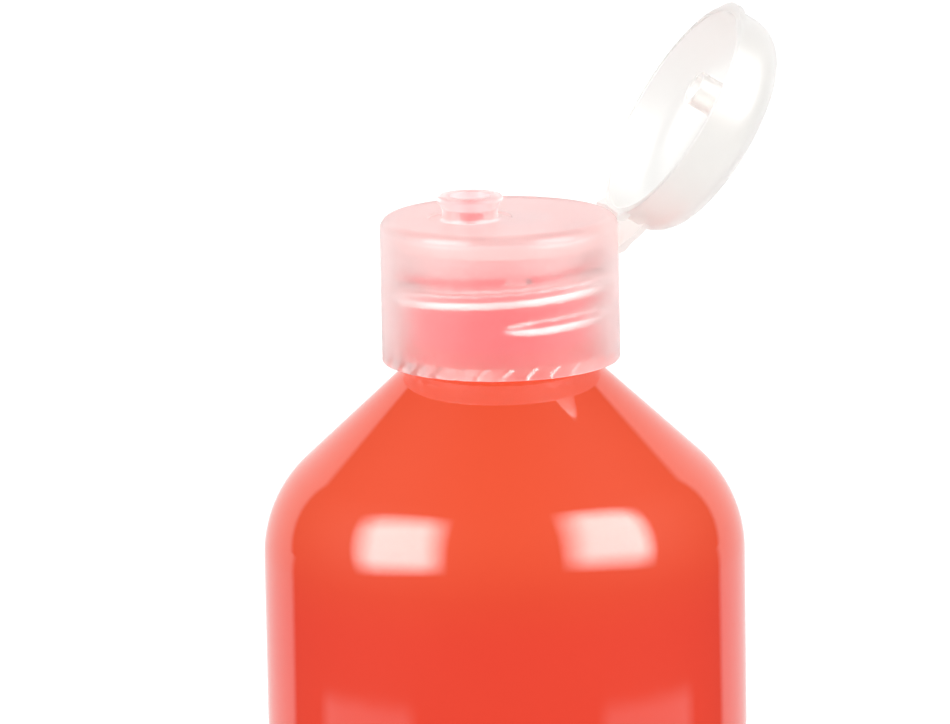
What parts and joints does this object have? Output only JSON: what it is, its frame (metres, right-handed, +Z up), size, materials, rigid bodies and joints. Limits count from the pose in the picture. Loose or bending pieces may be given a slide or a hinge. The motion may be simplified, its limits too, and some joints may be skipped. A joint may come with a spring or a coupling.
{
  "type": "finger paint bottle",
  "caption": "Clear round squeeze bottle of finger paint with a sloping shoulder, a threaded neck and a frosted screw cap whose flip lid stands open beside a short nozzle.",
  "frame": {"origin": "centre of the bottle's standing ring, on the bottle's axis and in the plane it stands on", "axes": "+Z up along the bottle's axis, +X towards the lid's hinge; the hinge line is parallel to Y"},
  "size_m": [0.0747, 0.069, 0.2065],
  "materials": {
    "clear_bottle": "clear glossy blown plastic",
    "paint": "thick wet paint, red-orange",
    "seal_foam": "fine closed foam",
    "frosted_cap": "natural frosted moulded plastic",
    "frosted_lid": "natural frosted moulded plastic"
  },
  "bodies": {
    "bottle": {"bottle": "clear_bottle", "finger_paint": "paint"},
    "seal": {"seal_ring": "seal_foam"},
    "cap": {"cap_shell": "frosted_cap", "hinge_strap": "frosted_cap"},
    "lid": {"flip_lid": "frosted_lid"}
  },
  "joints": [
    {"name": "cap_lift", "type": "slide", "parent": "bottle", "child": "seal", "axis": [0, 0, 1], "range_m": [0, 0.0075]},
    {"name": "cap_turn", "type": "hinge", "parent": "seal", "child": "cap", "pos_m": [0, 0, 0.157], "axis": [0, 0, 1], "range_deg": [0, 630]},
    {"name": "lid_hinge", "type": "hinge", "parent": "cap", "child": "lid", "pos_m": [0.0166, 0, 0.1777], "axis": [0, 1, 0], "range_deg": [-122.5, 45], "deforming": ["hinge_strap"]}
  ],
  "couplings": [
    {"joint": "cap_lift", "follows": "cap_turn", "m_per_rad": 0.00067323}
  ]
}
